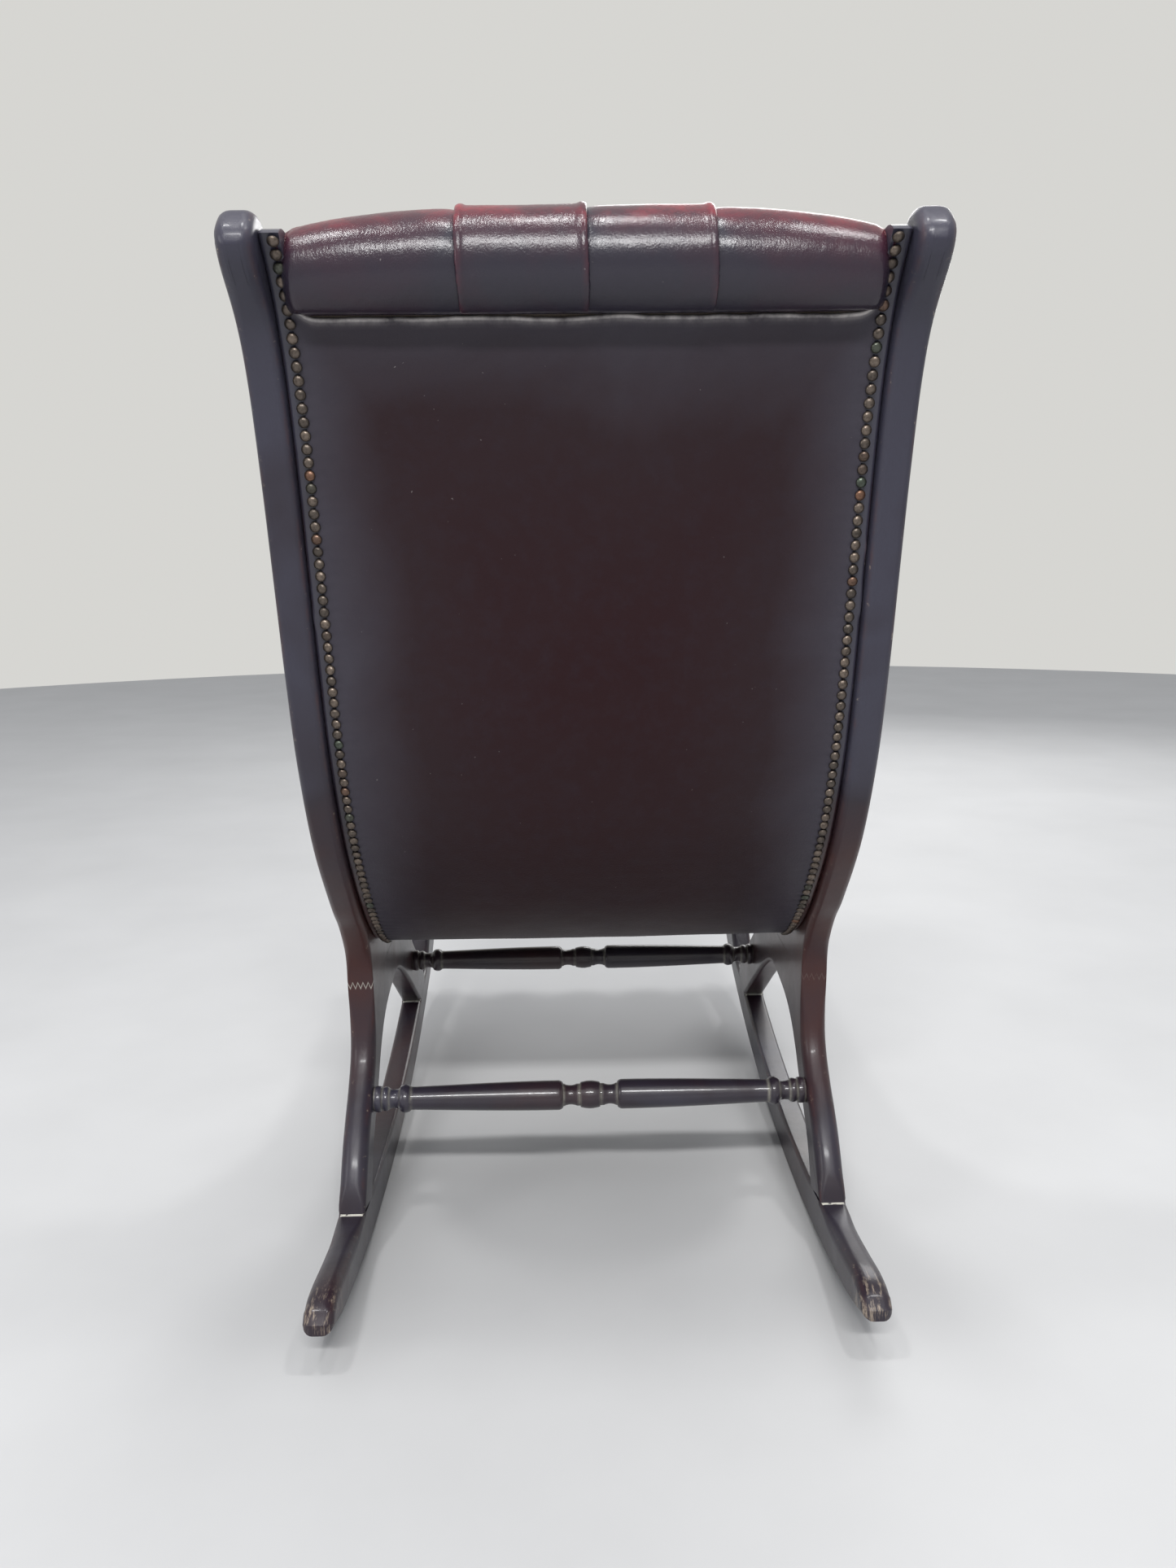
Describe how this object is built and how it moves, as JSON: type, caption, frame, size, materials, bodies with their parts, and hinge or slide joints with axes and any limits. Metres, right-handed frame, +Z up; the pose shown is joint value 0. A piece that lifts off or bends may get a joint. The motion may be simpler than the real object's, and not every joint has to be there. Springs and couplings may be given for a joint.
{
  "type": "button back rocking chair",
  "caption": "Armless rocking chair with an S-curved, buttoned leather back and seat between two scrolled wooden side frames on curved rockers.",
  "frame": {"origin": "middle of the bounding box in plan, at floor height", "axes": "+X to the sitter's left, -Y is the way the sitter faces, +Z up"},
  "size_m": [0.6, 1.063, 1.1048],
  "materials": {
    "show_wood": "dark polished mahogany, worn satin",
    "frame_beech": "raw",
    "screw_steel": "plain",
    "jute": "woven",
    "stuffing": "hair and wadding",
    "leather": "antiqued oxblood, satin",
    "card": "stiff card tape",
    "black_cloth": "matt",
    "nail_brass": "antiqued"
  },
  "bodies": {
    "root": {"stile_left": "show_wood", "stile_right": "show_wood", "seat_side_left": "show_wood", "seat_side_right": "show_wood", "rear_leg_left": "show_wood", "rear_leg_right": "show_wood", "front_leg_left": "show_wood", "front_leg_right": "show_wood", "rocker_left": "show_wood", "rocker_right": "show_wood", "rear_stretcher": "show_wood", "front_stretcher": "show_wood", "inner_rail_left": "show_wood", "inner_rail_right": "show_wood", "crest_rail": "frame_beech", "rear_seat_rail": "frame_beech", "front_seat_rail": "frame_beech", "corner_block_left": "frame_beech", "corner_block_right": "frame_beech", "frame_dowels": "frame_beech", "cross_rail_dowels": "frame_beech", "inner_rail_screws": "screw_steel", "corner_block_screws": "screw_steel", "back_webbing_across": "jute", "back_webbing_down": "jute", "seat_webbing_across": "jute", "seat_webbing_along": "jute", "back_hessian": "jute", "seat_hessian": "jute", "head_stuffing": "stuffing", "back_stuffing": "stuffing", "seat_stuffing": "stuffing", "head_roll_leather": "leather", "inside_back_leather": "leather", "seat_leather": "leather", "outside_back_leather": "leather", "back_buttons": "leather", "seat_buttons": "leather", "tack_strip": "card", "dust_cover": "black_cloth", "nails_left": "nail_brass", "nails_right": "nail_brass"}
  },
  "joints": []
}
